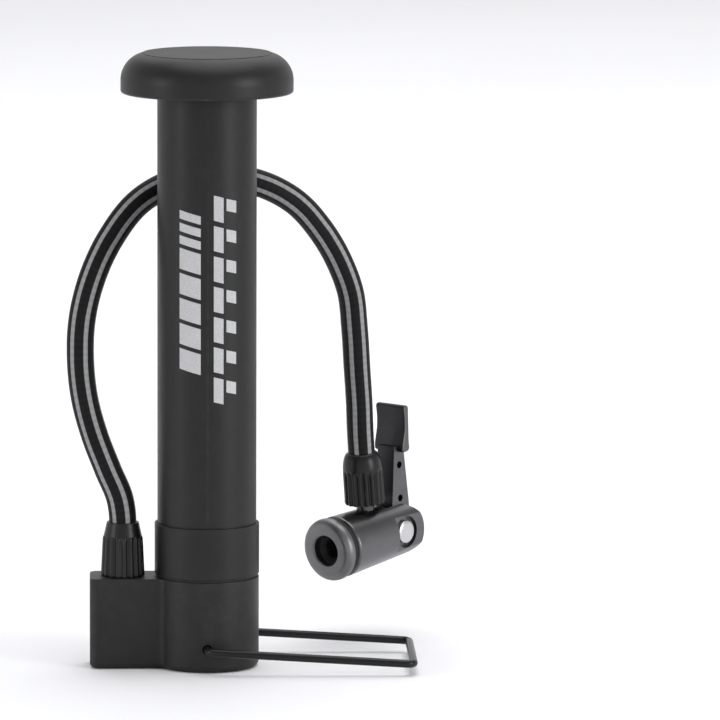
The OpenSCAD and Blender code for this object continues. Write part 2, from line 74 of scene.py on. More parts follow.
def add_camera():
    data = bpy.data.cameras.new("camera")
    data.sensor_width = 36
    data.lens = LENS_MM
    data.clip_start, data.clip_end = 0.05, 60
    camera = bpy.data.objects.new("camera", data)
    camera.location = CAMERA_AT
    turn = Matrix.Rotation(math.radians(-CAMERA_YAW), 3, "Z")
    nod = Matrix.Rotation(math.radians(90 + CAMERA_PITCH), 3, "X")
    lean = Matrix.Rotation(math.radians(CAMERA_ROLL), 3, "Z")
    camera.rotation_euler = (turn @ nod @ lean).to_euler()
    bpy.context.scene.collection.objects.link(camera)
    bpy.context.scene.camera = camera


def add_light(name, at, aim, size, watts):
    data = bpy.data.lights.new(name, "AREA")
    data.shape = "RECTANGLE"
    data.size, data.size_y = size
    data.energy = watts
    light = bpy.data.objects.new(name, data)
    light.location = at
    light.rotation_mode = "QUATERNION"
    light.rotation_quaternion = (Vector(aim) - Vector(at)).to_track_quat("-Z", "Y")
    light.visible_camera = False
    bpy.context.scene.collection.objects.link(light)


SKY_LOW, SKY_HIGH = 0.95, 0.34
SKY_FADE = (0.1, 0.65)        # how steeply a direction climbs where the walls end and the ceiling starts
PUMP_MIDDLE = (0, 0, 0.12)


def add_world():
    """White to the eye. What it lights sees white walls under a darker ceiling."""
    world = bpy.data.worlds.new("studio")
    world.use_nodes = True
    nodes, links = world.node_tree.nodes, world.node_tree.links
    nodes.clear()
    path = nodes.new("ShaderNodeLightPath")
    seen = nodes.new("ShaderNodeBackground")
    seen.inputs["Color"].default_value = (1, 1, 1, 1)
    seen.inputs["Strength"].default_value = 1.0
    lit = nodes.new("ShaderNodeBackground")
    lit.inputs["Color"].default_value = (1, 1, 1, 1)
    way = nodes.new("ShaderNodeTexCoord")
    split = nodes.new("ShaderNodeSeparateXYZ")
    links.new(way.outputs["Generated"], split.inputs[0])
    climb = nodes.new("ShaderNodeMapRange")
    for socket, number in zip(list(climb.inputs)[1:5], (*SKY_FADE, SKY_LOW, SKY_HIGH)):
        socket.default_value = number
    links.new(split.outputs[2], climb.inputs[0])
    links.new(climb.outputs[0], lit.inputs["Strength"])
    mix = nodes.new("ShaderNodeMixShader")
    out = nodes.new("ShaderNodeOutputWorld")
    links.new(path.outputs["Is Camera Ray"], mix.inputs[0])
    links.new(lit.outputs[0], mix.inputs[1])
    links.new(seen.outputs[0], mix.inputs[2])
    links.new(mix.outputs[0], out.inputs[0])
    bpy.context.scene.world = world
    bpy.context.scene.view_settings.view_transform = "Standard"


add_camera()
add_world()
add_light("key", (2.1, -1.5, 0.7), PUMP_MIDDLE, (0.8, 1.2), 24)
add_light("fill", (-2.3, -1.1, 0.6), PUMP_MIDDLE, (0.35, 1.2), 11)
add_light("top", (0.2, 0.2, 2.4), (0, 0, 0.1), (2.2, 2.2), 40)
add_light("floor_wash", (0.3, 2.1, 1.9), (0.3, 2.1, 0), (3.0, 2.0), 22)


# ---------------------------------------------------------------- materials

class Nodes:
    """Short forms for building one material's node tree."""

    def __init__(self, name):
        self.material = bpy.data.materials.new(name)
        self.material.use_nodes = True
        self.tree = self.material.node_tree
        self.tree.nodes.clear()
        self.shader = self.add("ShaderNodeBsdfPrincipled")
        out = self.add("ShaderNodeOutputMaterial")
        self.link(self.shader.outputs[0], out.inputs["Surface"])
        self.coords = self.add("ShaderNodeTexCoord")

    def add(self, kind, **values):
        node = self.tree.nodes.new(kind)
        for key, value in values.items():
            setattr(node, key, value)
        return node

    def link(self, start, end):
        self.tree.links.new(start, end)

    def put(self, socket, value):
        """Links an output to a socket, or sets the socket to a plain value."""
        if isinstance(value, bpy.types.NodeSocket):
            self.link(value, socket)
        else:
            socket.default_value = value

    def math(self, operation, a, b=0.0):
        node = self.add("ShaderNodeMath", operation=operation)
        for socket, value in zip(node.inputs, (a, b)):
            self.put(socket, value)
        return node.outputs[0]

    def noise(self, size, detail, stretch=(1, 1, 1)):
        """Noise whose blobs are about size metres across."""
        spread = self.add("ShaderNodeMapping")
        spread.inputs["Scale"].default_value = stretch
        self.link(self.coords.outputs["Object"], spread.inputs["Vector"])
        node = self.add("ShaderNodeTexNoise")
        node.inputs["Scale"].default_value = 1 / size
        node.inputs["Detail"].default_value = detail
        self.link(spread.outputs[0], node.inputs["Vector"])
        return node.outputs["Fac"]

    def ramp(self, value, low, high, start=0.0, end=1.0):
        node = self.add("ShaderNodeMapRange")
        for socket, number in zip(node.inputs, (value, low, high, start, end)):
            self.put(socket, number)
        return node.outputs[0]

    def blend(self, share, first, second):
        node = self.add("ShaderNodeMix", data_type="RGBA")
        self.put(node.inputs["Factor"], share)
        for socket, colour in ((node.inputs["A"], first), (node.inputs["B"], second)):
            if not isinstance(colour, bpy.types.NodeSocket):
                colour = (*colour, 1)
            self.put(socket, colour)
        return node.outputs["Result"]

    def bump(self, height, depth):
        node = self.add("ShaderNodeBump")
        node.inputs["Distance"].default_value = depth
        self.link(height, node.inputs["Height"])
        return node.outputs[0]

    def finish(self, colour, roughness, normal=None, **fixed):
        """Joins colour and roughness to the shader. fixed sets its other sockets by name."""
        self.put(self.shader.inputs["Base Color"], colour)
        self.put(self.shader.inputs["Roughness"], roughness)
        if normal is not None:
            self.link(normal, self.shader.inputs["Normal"])
        for key, value in fixed.items():
            self.shader.inputs[key.replace("_", " ")].default_value = value
        return self.material


def grey(value):
    return (value, value, value * 1.03)


def moulded(name, tone, roughness, grain=0.00035, depth=0.000012, wear=0.35, gloss=0.32):
    """Moulded or painted black: fine grain, soft blotches, rubbed paler along its edges."""
    n = Nodes(name)
    blotch = n.noise(0.018, 3)
    fine = n.noise(grain, 3)
    scuff = n.noise(0.004, 4)
    geometry = n.add("ShaderNodeNewGeometry")
    edge = n.ramp(geometry.outputs["Pointiness"], 0.515, 0.56)
    edge = n.math("MULTIPLY", edge, n.ramp(scuff, 0.35, 0.7, 0.2, 1.0))
    base = n.blend(n.ramp(blotch, 0.3, 0.7), grey(tone * 0.86), grey(tone * 1.14))
    base = n.blend(n.math("MULTIPLY", edge, wear), base, grey(tone * 4 + 0.03))
    rough = n.math("ADD", n.ramp(blotch, 0.25, 0.75, roughness - 0.035, roughness + 0.035),
                   n.ramp(fine, 0.2, 0.8, -0.02, 0.02))
    return n.finish(base, rough, n.bump(fine, depth), Specular_IOR_Level=gloss)


def metal(name, colour, roughness, streak=(1, 1, 1), depth=0.000004):
    n = Nodes(name)
    lines = n.noise(0.0006, 3, streak)
    blotch = n.noise(0.006, 3)
    base = n.blend(n.ramp(blotch, 0.3, 0.7), [c * 0.88 for c in colour], colour)
    rough = n.ramp(lines, 0.2, 0.8, roughness - 0.04, roughness + 0.05)
    return n.finish(base, rough, n.bump(lines, depth), Metallic=1.0)


def rubber(name, tone, roughness):
    n = Nodes(name)
    dust = n.noise(0.003, 4)
    fine = n.noise(0.0002, 2)
    base = n.blend(n.ramp(dust, 0.35, 0.75), grey(tone), grey(tone * 1.7))
    rough = n.ramp(dust, 0.3, 0.7, roughness - 0.04, roughness + 0.06)
    return n.finish(base, rough, n.bump(fine, 0.00001))


def nylon(name, colour, roughness):
    n = Nodes(name)
    cloud = n.noise(0.005, 3)
    base = n.blend(n.ramp(cloud, 0.3, 0.7), [c * 0.93 for c in colour], colour)
    rough = n.ramp(cloud, 0.3, 0.7, roughness - 0.04, roughness + 0.04)
    return n.finish(base, rough, n.bump(n.noise(0.0005, 2), 0.000008))


STRIPES = 6
STRIPE_SHARE = 0.32          # of the sixth that each stripe stands in
STRIPE_TURN = 0.021          # of a turn, from the hose's outer side to the first stripe
STRIPE_SHIFT = 10.5          # whole stripes keep the phase positive, and the half centres each stripe
STRIPE_BLUR = 0.025
BRAID_STRANDS = 26
BRAID_PITCH = 0.0105


def braided_hose(name):
    """Black braid over a hose, with pale lengthwise stripes woven in. UV: turn, metres along."""
    n = Nodes(name)
    split = n.add("ShaderNodeSeparateXYZ")
    n.link(n.coords.outputs["UV"], split.inputs[0])
    turn, along = split.outputs[0], split.outputs[1]
    drift = n.ramp(n.noise(0.012, 2), 0, 1, -0.006, 0.006)
    turn_here = n.math("ADD", n.math("SUBTRACT", turn, STRIPE_TURN), drift)
    phase = n.math("FRACT", n.math("ADD", n.math("MULTIPLY", turn_here, STRIPES), STRIPE_SHIFT))
    off = n.math("ABSOLUTE", n.math("SUBTRACT", phase, 0.5))
    stripe = n.ramp(off, STRIPE_SHARE / 2 + STRIPE_BLUR, STRIPE_SHARE / 2 - STRIPE_BLUR)
    lean = n.math("MULTIPLY", along, 2 * math.pi / BRAID_PITCH * 2)
    wound = n.math("MULTIPLY", turn, 2 * math.pi * BRAID_STRANDS)
    one = n.math("SINE", n.math("ADD", wound, lean))
    other = n.math("SINE", n.math("SUBTRACT", wound, lean))
    weave = n.math("MULTIPLY", one, other)
    fibre = n.noise(0.00025, 3)
    height = n.math("ADD", n.math("MULTIPLY", weave, 0.5), n.math("MULTIPLY", fibre, 0.5))
    # Both colours darken where height is low: where the weave sinks this is painted shade in the braid's hollows;
    # the fibre noise in height is random tone.
    black = n.blend(n.ramp(height, -0.3, 0.9), grey(0.002), grey(0.008))
    pale = n.blend(n.ramp(height, -0.6, 1.0), grey(0.2), grey(0.34))
    base = n.blend(stripe, black, pale)
    rough = n.ramp(fibre, 0.2, 0.8, 0.5, 0.62)
    return n.finish(base, rough, n.bump(height, 0.00008), Specular_IOR_Level=0.16)


def silver_print(name):
    n = Nodes(name)
    speck = n.noise(0.0004, 3)
    base = n.blend(n.ramp(speck, 0.3, 0.7), grey(0.4), grey(0.55))
    return n.finish(base, n.ramp(speck, 0.3, 0.7, 0.38, 0.5), n.bump(speck, 0.000006))


def floor_material():
    n = Nodes("floor_pale")
    base = n.blend(n.ramp(n.noise(0.3, 2), 0.3, 0.7), grey(0.9), grey(0.92))
    return n.finish(base, 0.7, Specular_IOR_Level=0.1)


MATERIALS = {
    "black_plastic": moulded("moulded_black", 0.007, 0.46),
    "barrel_paint": moulded("barrel_coating", 0.007, 0.44, grain=0.0002, wear=0.2),
    "black_nut": moulded("ribbed_black", 0.006, 0.34, wear=0.5),
    "cap_plastic": moulded("cap_black", 0.009, 0.45),
    "cover_plastic": moulded("cover_grey", 0.03, 0.5, gloss=0.2),
    "chuck_metal": metal("chuck_anodised", (0.15, 0.15, 0.155), 0.3, depth=0.000008),
    # A lighter copy of the chuck's anodised metal for the nose nut: its lighter tone is painted reflection, for
    # the bright face of the nose.
    "nose_metal_painted_reflection": metal("nose_anodised_painted_reflection", (0.2, 0.2, 0.205), 0.42, depth=0.000008),
    "lever_metal": metal("lever_anodised", (0.042, 0.042, 0.044), 0.42, depth=0.000008),
    "lever_side": metal("lever_milled", (0.14, 0.14, 0.143), 0.45, depth=0.000008),
    "wire": moulded("wire_black", 0.003, 0.3, grain=0.0005, depth=0.00001),
    "hose_rubber": braided_hose("hose_braid"),
    # seal_rubber: black rubber kept darker still, so the gasket under the collar and the ring in the nose groove
    # show as dark lines: partly its own black, partly painted shade.
    "seal_rubber": rubber("seal_rubber", 0.004, 0.7),
    "bright_steel": metal("pin_bright", (0.62, 0.62, 0.63), 0.34),
    "steel": metal("turned_steel", (0.6, 0.6, 0.61), 0.28, streak=(1, 1, 14)),
    "dark_steel": metal("neck_steel", (0.09, 0.09, 0.095), 0.16, streak=(1, 1, 8)),
    "brass": metal("machined_brass", (0.72, 0.56, 0.3), 0.3, streak=(1, 1, 10)),
    "white_plastic": nylon("nylon", (0.62, 0.62, 0.58), 0.42),
}
SILVER = silver_print("silver_print")


# ---------------------------------------------------------------- shapes, in millimetres

def rounded(corners, closed=False, steps=5):
    """A polyline with its corners rounded. Each corner is (x, y) or (x, y, radius)."""
    made = []
    count = len(corners)
    for i, corner in enumerate(corners):
        here = Vector(corner[:2])
        radius = corner[2] if len(corner) > 2 else 0
        ends_here = not closed and i in (0, count - 1)
        if radius <= 0 or ends_here:
            made.append((here.x, here.y))
            continue
        to_last = (Vector(corners[i - 1][:2]) - here).normalized()
        to_next = (Vector(corners[(i + 1) % count][:2]) - here).normalized()
        half = to_last.angle(to_next) / 2
        centre = here + (to_last + to_next).normalized() * (radius / math.sin(half))
        start = here + to_last * (radius / math.tan(half)) - centre
        end = here + to_next * (radius / math.tan(half)) - centre
        swing = math.atan2(start.x * end.y - start.y * end.x, start.dot(end))
        for k in range(steps + 1):
            turn = swing * k / steps
            c, s = math.cos(turn), math.sin(turn)
            made.append((centre.x + start.x * c - start.y * s, centre.y + start.x * s + start.y * c))
    return made


def arc(centre, radius, start, end, steps):
    """Points on an arc, with its angles in degrees."""
    turns = [math.radians(start + (end - start) * k / steps) for k in range(steps + 1)]
    return [(centre[0] + radius * math.cos(t), centre[1] + radius * math.sin(t)) for t in turns]


def revolved(profile, segments, closed=False, swell=None):
    """Turns (radius, height) points about Z. swell(angle, radius, height) changes a radius."""
    points, faces, rows = [], [], []
    for radius, height in profile:
        if radius < 1e-6:
            rows.append([len(points)] * segments)
            points.append((0, 0, height))
            continue
        row = []
        for k in range(segments):
            turn = 2 * math.pi * k / segments
            here = swell(turn, radius, height) if swell else radius
            row.append(len(points))
            points.append((here * math.cos(turn), here * math.sin(turn), height))
        rows.append(row)
    pairs = list(zip(rows, rows[1:]))
    if closed:
        pairs.append((rows[-1], rows[0]))
    for low, high in pairs:
        for k in range(segments):
            after = (k + 1) % segments
            ring = dict.fromkeys((low[k], low[after], high[after], high[k]))
            if len(ring) > 2:
                faces.append(tuple(ring))
    return points, faces


def lofted(rings):
    """Skins closed rings that have the same number of points, and caps both ends."""
    size = len(rings[0])
    points = [p for ring in rings for p in ring]
    faces = []
    for i in range(len(rings) - 1):
        for k in range(size):
            after = (k + 1) % size
            faces.append((i * size + k, i * size + after, (i + 1) * size + after, (i + 1) * size + k))
    faces.append(tuple(range(size - 1, -1, -1)))
    faces.append(tuple(range((len(rings) - 1) * size, len(rings) * size)))
    return points, faces


def rod(radius, low, high, sides=48):
    """A plain round bar along Z, for holes and shanks."""
    return revolved([(0, low), (radius, low), (radius, high), (0, high)], sides)


def prism(outline, half):
    """An outline in X and Z, thickened by half to each side along Y."""
    return lofted([[(x, y, z) for x, z in outline] for y in (half, -half)])


def block(low, high):
    outline = [(low[0], low[2]), (high[0], low[2]), (high[0], high[2]), (low[0], high[2])]
    points, faces = prism(outline, (high[1] - low[1]) / 2)
    return moved((points, faces), Matrix.Translation((0, (high[1] + low[1]) / 2, 0)))


def moved(shape, matrix):
    return [tuple(matrix @ Vector(p)) for p in shape[0]], shape[1]


def joined(*shapes):
    points, faces = [], []
    for some_points, some_faces in shapes:
        start = len(points)
        points += some_points
        faces += [tuple(start + i for i in face) for face in some_faces]
    return points, faces


def turned_to(axis, at=(0, 0, 0)):
    """Matrix that takes +Z to an axis, then moves to a place."""
    return Matrix.Translation(at) @ Vector((0, 0, 1)).rotation_difference(Vector(axis)).to_matrix().to_4x4()


def tube(path, radius, sides, headings, lean):
    """Round tube along a path, with its first side at right angles to lean."""
    rings = []
    for at, heading in zip(path, headings):
        side = heading.cross(lean).normalized()
        rise = side.cross(heading)
        turns = [2 * math.pi * k / sides for k in range(sides)]
        rings.append([tuple(at + radius * (math.cos(t) * side + math.sin(t) * rise)) for t in turns])
    return lofted(rings)


# ---------------------------------------------------------------- pieces

def make_mesh(name, shape, place=None):
    points, faces = shape if place is None else moved(shape, place)
    mesh = bpy.data.meshes.new(name)
    mesh.from_pydata([tuple(p) for p in points], [], faces)
    mesh.validate()
    mesh.update()
    obj = bpy.data.objects.new(name, mesh)
    bpy.context.scene.collection.objects.link(obj)
    return obj


def face_outwards(mesh):
    work = bmesh.new()
    work.from_mesh(mesh)
    bmesh.ops.recalc_face_normals(work, faces=work.faces)
    work.to_mesh(mesh)
    work.free()


def apply_modifiers(obj):
    graph = bpy.context.evaluated_depsgraph_get()
    graph.update()
    mesh = bpy.data.meshes.new_from_object(obj.evaluated_get(graph))
    obj.modifiers.clear()
    obj.data = mesh


def carve(obj, cutters, operation="DIFFERENCE"):
    """Cuts closed shapes out of a piece, or keeps what they share."""
    made = []
    for k, (shape, place) in enumerate(cutters):
        cutter = make_mesh(f"{obj.name}_cutter_{k}", shape, place)
        face_outwards(cutter.data)
        modifier = obj.modifiers.new("cut", "BOOLEAN")
        modifier.operation = operation
        modifier.solver = "EXACT"
        modifier.object = cutter
        made.append(cutter)
    apply_modifiers(obj)
    for cutter in made:
        bpy.data.objects.remove(cutter)


BEVEL_ANGLE = 32             # degrees between faces, above which their edge is rounded


def soften(obj, width, segments=3):
    """Rounds a piece's sharp edges."""
    modifier = obj.modifiers.new("edges", "BEVEL")
    modifier.width = width
    modifier.segments = segments
    modifier.limit_method = "ANGLE"
    modifier.angle_limit = math.radians(BEVEL_ANGLE)
    modifier.use_clamp_overlap = True
    modifier.miter_outer = "MITER_ARC"
    apply_modifiers(obj)


SHARP_ANGLE = 40             # degrees between faces, above which their edge shades as an edge


def settle(obj, body, slot, nodes=(), material=None):
    """Gives a made piece its finish, its body and the CAD nodes that it stands for."""
    face_outwards(obj.data)
    obj.data.transform(Matrix.Scale(MM, 4))
    obj.data.materials.clear()
    obj.data.materials.append(material or MATERIALS[slot])
    obj.data.polygons.foreach_set("use_smooth", [True] * len(obj.data.polygons))
    obj.data.set_sharp_from_angle(angle=math.radians(SHARP_ANGLE))
    weigh = obj.modifiers.new("normals", "WEIGHTED_NORMAL")
    weigh.keep_sharp = True
    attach(obj, body)
    if nodes:
        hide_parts(*nodes)


def add_piece(name, shape, body, slot, nodes=(), place=None, material=None):
    settle(make_mesh(name, shape, place), body, slot, nodes, material)


# ---------------------------------------------------------------- hose

HOSE_D = 0.0105
HOSE_SIDES = 40
HOSE_STEP = 0.9              # millimetres between rings
SPAN_PARTS = 24              # fine steps between two points of the route
HOSE_ROUTE = [
    (-0.0323, 0, 0.0558),
    (-0.0332, 0.0002, 0.064),
    (-0.038, 0.001, 0.076),
    (-0.043, 0.0018, 0.089),
    (-0.0468, 0.0028, 0.103),
    (-0.0484, 0.004, 0.118),
    (-0.0478, 0.006, 0.133),
    (-0.0442, 0.009, 0.148),
    (-0.0366, 0.0136, 0.164),
    (-0.0252, 0.0192, 0.1776),
    (-0.0104, 0.0246, 0.1846),
    (0.005, 0.028, 0.1858),
    (0.02, 0.031, 0.183),
    (0.0334, 0.036, 0.1758),
    (0.0444, 0.0438, 0.1634),
    (0.0522, 0.0498, 0.1496),
    (0.0564, 0.0526, 0.138),
    (0.0582, 0.0542, 0.123),
    (0.0592, 0.0554, 0.108),
    (0.0602, 0.0566, 0.093),
    (0.0606, 0.0575, 0.083),
    (0.0612, 0.0584, 0.0736),
]

nose_way = -Vector(JOINTS["pusher_slide"]["axis"]).normalized()
pin_way = -Vector(JOINTS["lever_flip"]["axis"]).normalized()
hose_way = nose_way.cross(pin_way).normalized()
PIN_BACK = 13.2              # from the hose's axis to the lever's pin, along the head


def smooth_path(points, first, last, step):
    """A smooth curve through the points, with its end directions given, in equal steps."""
    count = len(points)
    slopes = []
    for i in range(count):
        if i in (0, count - 1):
            near = points[1] - points[0] if i == 0 else points[-1] - points[-2]
            slopes.append((first if i == 0 else last) * near.length)
        else:
            before, after = points[i] - points[i - 1], points[i + 1] - points[i]
            slopes.append(before / before.length * after.length + after / after.length * before.length)
    fine = []
    for i in range(count - 1):
        span = (points[i + 1] - points[i]).length
        start = slopes[i] * (span / slopes[i].length)
        end = slopes[i + 1] * (span / slopes[i + 1].length)
        for k in range(SPAN_PARTS):
            t = k / SPAN_PARTS
            fine.append(
                (2 * t**3 - 3 * t**2 + 1) * points[i] + (t**3 - 2 * t**2 + t) * start
                + (3 * t**2 - 2 * t**3) * points[i + 1] + (t**3 - t**2) * end
            )
    fine.append(points[-1])
    lengths = [0.0]
    for a, b in zip(fine, fine[1:]):
        lengths.append(lengths[-1] + (b - a).length)
    steps = round(lengths[-1] / step)
    path, i = [], 0
    for k in range(steps + 1):
        want = lengths[-1] * k / steps
        while i < len(fine) - 2 and lengths[i + 1] < want:
            i += 1
        share = (want - lengths[i]) / (lengths[i + 1] - lengths[i])
        path.append(fine[i].lerp(fine[i + 1], min(1.0, share)))
    return path, lengths[-1]


def headings_of(path, first, last):
    middle = [(b - a).normalized() for a, b in zip(path, path[2:])]
    return [first, *middle, last]


def add_hose():
    route = [Vector(p) / MM for p in HOSE_ROUTE]
    first, last = Vector((0, 0, 1)), -hose_way
    path, length = smooth_path(route, first, last, HOSE_STEP)
    headings = headings_of(path, first, last)
    radius = HOSE_D / MM / 2
    hose = make_mesh("hose_line", tube(path, radius, HOSE_SIDES, headings, Vector((0, 1, 0))))
    layer = hose.data.uv_layers.new(name="UVMap")
    for face in hose.data.polygons:
        first_side = min(v % HOSE_SIDES for v in face.vertices)
        wraps = first_side == 0 and any(v % HOSE_SIDES == HOSE_SIDES - 1 for v in face.vertices)
        for loop in face.loop_indices:
            v = hose.data.loops[loop].vertex_index
            ring, side = divmod(v, HOSE_SIDES)
            if wraps and side == 0 and len(face.vertices) == 4:
                side = HOSE_SIDES
            layer.data[loop].uv = (side / HOSE_SIDES, ring * length * MM / (len(path) - 1))
    settle(hose, "hose_line", "hose_rubber", ["hose"])


add_hose()


# ---------------------------------------------------------------- base, collar and barrel

BASE_EDGE = 2.3
BASE_LIP = 0.4               # rounding of the base's top edge
BASE_LIP_MID = 0.12
BOSS_HALF = 10.0
BOSS_CORNER = 3.0
WIRE_HOLE_R = 1.65
ROUND_SIDES = 192            # sides of barrel, collar and cap
FIT = 0.02                   # gap between two parts that touch
CREASE = 4.5                 # fillet between the boss and the tower


def base_outline(inset, tower_r, boss_reach):
    """Plan of tower and boss, drawn in by inset."""
    crease_y = BOSS_HALF + CREASE
    crease_x = -math.sqrt((tower_r + CREASE) ** 2 - crease_y**2)
    bearing = math.degrees(math.atan2(crease_y, crease_x))
    corner = (BOSS_CORNER - boss_reach, BOSS_HALF - BOSS_CORNER)
    half = arc((0, 0), tower_r - inset, 0, bearing, 44)
    half += arc((crease_x, crease_y), CREASE + inset, bearing - 180, -90, 6)
    half += arc(corner, BOSS_CORNER - inset, 90, 180, 8)
    return half + [(x, -y) for x, y in reversed(half[1:])]


def add_base():
    low, high = box_mm("base_block")
    tower_r, boss_reach = high.x, -low.x
    top = box_mm("base_gasket")[0].z
    pivot = Vector(JOINTS["bracket_fold"]["pos_m"]) / MM
    rings = [(BASE_EDGE * (1 - math.sin(t)), BASE_EDGE * (1 - math.cos(t)))
             for t in [math.radians(a) for a in range(0, 91, 15)]]
    rings += [(0, top - BASE_LIP), (BASE_LIP_MID, top - BASE_LIP_MID), (BASE_LIP, top)]
    skin = [[(x, y, height) for x, y in base_outline(inset, tower_r, boss_reach)]
            for inset, height in rings]
    base = make_mesh("base_casting", lofted(skin))
    mouth_r = WIRE_HOLE_R + 0.85
    sink = [(0, -8), (WIRE_HOLE_R, -8), (WIRE_HOLE_R, -0.45), (mouth_r, 0.4), (mouth_r, 3), (0, 3)]
    cutters = [(revolved(sink, 40), turned_to((0, side, 0), (0, side * tower_r, pivot.z)))
               for side in (-1, 1)]
    plug_low, plug_high = box_mm("duct_plug")
    plug_r = (plug_high.z - plug_low.z) / 2
    bore, flare = plug_r + FIT, plug_r + FIT + 0.3
    recess = [(0, -5), (bore, -5), (bore, -0.3), (flare, 0.05), (flare, 2), (0, 2)]
    cutters.append((revolved(recess, 48),
                    turned_to((-1, 0, 0), (plug_low.x, 0, (plug_high.z + plug_low.z) / 2))))
    face_outwards(base.data)
    carve(base, cutters)
    settle(base, "frame", "black_plastic", ["base_block"])


BARREL_WALL = 1.5


def add_barrel():
    low, high = box_mm("barrel")
    outer, inner = high.x, high.x - BARREL_WALL
    profile = rounded([(inner, low.z, 0.2), (outer, low.z, 0.3), (outer, high.z, 0.4), (inner, high.z, 0.3)],
                      closed=True, steps=3)
    add_piece("barrel_tube", revolved(profile, ROUND_SIDES, closed=True), "frame", "barrel_paint", ["barrel"])


def add_collar():
    low, high = box_mm("collar")
    outer, inner = high.x, box_mm("barrel")[1].x + FIT
    profile = rounded([(inner, low.z, 0.1), (outer, low.z, 0.35),
                       (outer, high.z, 0.4), (inner, high.z, 0.15)], closed=True, steps=4)
    shape = revolved(profile, ROUND_SIDES, closed=True)
    add_piece("collar_ring", shape, "frame", "black_plastic", ["collar"])


NUT_RIBS = 18
NUT_SIDES = NUT_RIBS * 14
NUT_STEP = 0.6               # height between a nut's rings


def fluted(depth, foot, head, bore, fade):
    """Swell that presses rounded flutes into a nut's outside, between two heights."""
    def swell(turn, radius, height):
        if radius <= bore:
            return radius
        reach = min(1.0, max(0.0, (head - height) / fade)) if height > foot else 1.0
        valley = 0.5 + 0.5 * math.cos(turn * NUT_RIBS)
        return radius - depth * math.sqrt(reach) * valley**1.4
    return swell


def heights(profile, step):
    """A profile with points added so that no span in height is over step."""
    made = [profile[0]]
    for (r0, z0), (r1, z1) in zip(profile, profile[1:]):
        parts = max(1, math.ceil(abs(z1 - z0) / step))
        made += [(r0 + (r1 - r0) * k / parts, z0 + (z1 - z0) * k / parts) for k in range(1, parts + 1)]
    return made


def add_base_nut():
    low, high = box_mm("base_ferrule_nut")
    middle = (low + high) / 2
    foot, top = low.z, high.z
    ribs_end = foot + 15.6
    outer = rounded([(7.9, foot), (8.45, foot, 0.5), (8.35, foot + 2, 2), (7.75, ribs_end - 1, 3),
                     (7.3, ribs_end, 0.8), (6.25, top - 0.5, 0.3), (6.15, top, 0.25), (5.2, top)], steps=5)
    shell = heights(outer, NUT_STEP) + [(5.2, top - 3), (5.2, foot)]
    shape = revolved(shell, NUT_SIDES, closed=True, swell=fluted(0.8, foot, ribs_end, bore=5.5, fade=1.6))
    place = Matrix.Translation((middle.x, middle.y, 0)) @ Matrix.Rotation(math.radians(5), 4, "Z")
    add_piece("hose_nut", shape, "frame", "black_nut", ["base_ferrule_nut"], place)


add_base()
add_barrel()
add_collar()
add_base_nut()


# ---------------------------------------------------------------- press cap

CAP_ROUND = 10.5
CAP_WALL = 2.6
CAP_HUB_R = 9.5
CAP_RIBS = 8
CAP_RIB_HALF = 0.9
CAP_RIB_SHOULDER = 232         # height where a rib meets the dome


def add_cap():
    low, high = box_mm("handle")
    cover_low, cover_high = box_mm("handle_cover")
    radius, cover_r = high.x, cover_high.x
    centre = (radius - CAP_ROUND, cover_high.z - CAP_ROUND)
    lip = math.degrees(math.acos((cover_r + 0.12 - centre[0]) / CAP_ROUND))
    outside = arc(centre, CAP_ROUND, lip, 0, 24)
    inside = arc(centre, CAP_ROUND - CAP_WALL, 0, 90, 16)
    hub_low, rod_r = box_mm("bumper")[1].z + 0.2, box_mm("piston_rod")[1].x
    rod_top = box_mm("piston_rod")[1].z
    profile = [(0, cover_low.z), (cover_r + 0.06, cover_low.z), *outside]
    profile += rounded([outside[-1], (radius, low.z, 1.1), (radius - CAP_WALL, low.z, 0.5), inside[0]])[1:]
    profile += inside[1:]
    under = inside[-1][1]
    profile += rounded([(centre[0], under), (CAP_HUB_R, under, 0.6), (CAP_HUB_R, hub_low, 0.4),
                        (rod_r, hub_low), (rod_r, rod_top), (0, rod_top)])[1:]
    start, end = CAP_HUB_R - 0.3, radius - CAP_WALL + 0.4
    rib = [(start, hub_low + 0.2), (21.2, hub_low + 0.2), (21.6, low.z + 1.2), (end, low.z + 1.2),
           (end, centre[1]), (28.6, CAP_RIB_SHOULDER), (22.5, under + 0.4), (start, under + 0.4)]
    ribs = []
    for k in range(CAP_RIBS):
        turn = Matrix.Rotation(2 * math.pi * (k + 0.5) / CAP_RIBS, 4, "Z")
        ribs.append(moved(prism(rib, CAP_RIB_HALF), turn))
    shape = joined(revolved(profile, ROUND_SIDES), *ribs)
    add_piece("press_cap", shape, "plunger", "cap_plastic", ["handle"])


def add_cap_cover():
    low, high = box_mm("handle_cover")
    profile = rounded([(0, low.z), (high.x, low.z), (high.x, high.z, 0.3)], steps=4)
    profile += [(high.x * part, high.z) for part in (0.97, 0.8, 0.55, 0.3, 0.1, 0)]
    add_piece("cap_disc", revolved(profile, ROUND_SIDES), "plunger", "cover_plastic", ["handle_cover"])


add_cap()
add_cap_cover()


# ---------------------------------------------------------------- foot bracket

WIRE_R = 1.55
WIRE_BEND = 3.0
WIRE_SIDES = 28
WIRE_STEP = 4                # most between two rings
WIRE_END = 14.6              # where each end stops inside the base
BRACKET_REACH = 79.0


